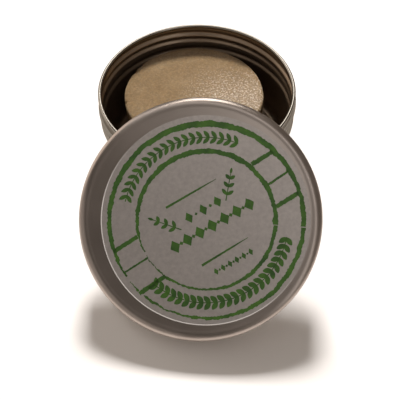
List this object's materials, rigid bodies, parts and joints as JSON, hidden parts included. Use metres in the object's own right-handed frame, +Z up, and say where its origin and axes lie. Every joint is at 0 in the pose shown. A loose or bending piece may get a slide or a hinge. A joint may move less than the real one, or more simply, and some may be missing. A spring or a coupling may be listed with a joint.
{
  "type": "shaving soap puck in tin",
  "caption": "Round shaving soap puck in an open aluminium screw tin, with the lid and its printed label leaning on the front of the rim.",
  "frame": {"origin": "centre of the tin's base, on the surface it stands on", "axes": "+Z up along the tin's axis, the lid leans out to -Y"},
  "size_m": [0.0822, 0.1324, 0.0473],
  "materials": {
    "tin": "satin lacquered aluminium",
    "soap": "fine grained soap",
    "lid": "satin lacquered aluminium",
    "liner": "white closed cell foam",
    "label": "satin silver-grey label stock",
    "ink": "printed green ink"
  },
  "bodies": {
    "tin": {"tin_body": "tin"},
    "soap": {"soap_puck": "soap"},
    "liner": {"lid_liner": "liner"},
    "lid": {"lid_shell": "lid", "top_label": "label"}
  },
  "joints": [
    {"name": "lid_lift", "type": "slide", "parent": "tin", "child": "liner", "axis": [0, 0, 1], "range_m": [0, 0.068]},
    {"name": "lid_turn", "type": "hinge", "parent": "liner", "child": "lid", "pos_m": [-0.00018, -0.05783, 0.02779], "axis": [-0.0563, -0.4938, 0.8678], "continuous": true},
    {"name": "soap_lift", "type": "slide", "parent": "tin", "child": "soap", "axis": [0, 0, 1], "range_m": [0, 0.041]}
  ],
  "couplings": [
    {"joint": "soap_lift", "follows": "lid_lift", "ratio": 0.6}
  ]
}
